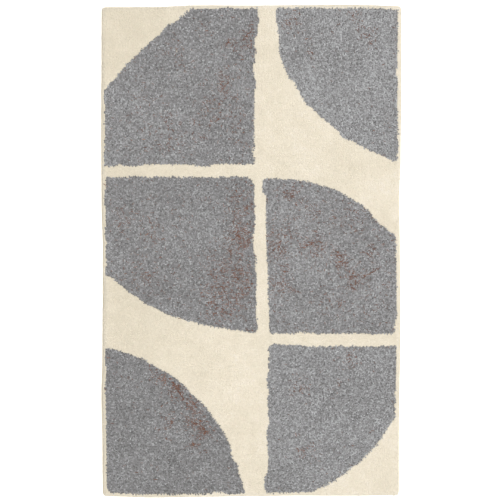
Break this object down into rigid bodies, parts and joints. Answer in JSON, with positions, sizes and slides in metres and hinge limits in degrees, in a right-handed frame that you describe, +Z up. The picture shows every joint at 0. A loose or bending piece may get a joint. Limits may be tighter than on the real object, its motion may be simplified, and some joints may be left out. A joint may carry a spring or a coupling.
{
  "type": "area rug",
  "caption": "Small rectangular tufted rug: grey cut pile quarter-round panels on a cream cut pile field, with a woven backing and a taped edge.",
  "frame": {"origin": "on the floor under the middle of the rug", "axes": "+X across the rug's width to its right, +Y along its length to the head end, +Z up through the pile"},
  "size_m": [0.608, 1, 0.018],
  "materials": {
    "under_cloth": "woven cotton",
    "latex": "matte",
    "tufted_cloth": "woven, matte",
    "cream_pile": "cut pile, matte",
    "grey_pile": "cut pile, matte",
    "edge_tape": "woven cotton tape",
    "thread": "spun thread"
  },
  "bodies": {
    "root": {"secondary_backing": "under_cloth", "latex_bond": "latex", "primary_backing": "tufted_cloth", "cream_pile": "cream_pile", "grey_pile_head_left": "grey_pile", "grey_pile_head_right": "grey_pile", "grey_pile_middle_left": "grey_pile", "grey_pile_middle_right": "grey_pile", "grey_pile_foot_left": "grey_pile", "grey_pile_foot_right": "grey_pile", "edge_binding_left": "edge_tape", "edge_binding_right": "edge_tape", "edge_binding_head": "edge_tape", "edge_binding_foot": "edge_tape", "binding_thread_left": "thread", "binding_thread_right": "thread", "binding_thread_head": "thread", "binding_thread_foot": "thread"}
  },
  "joints": []
}
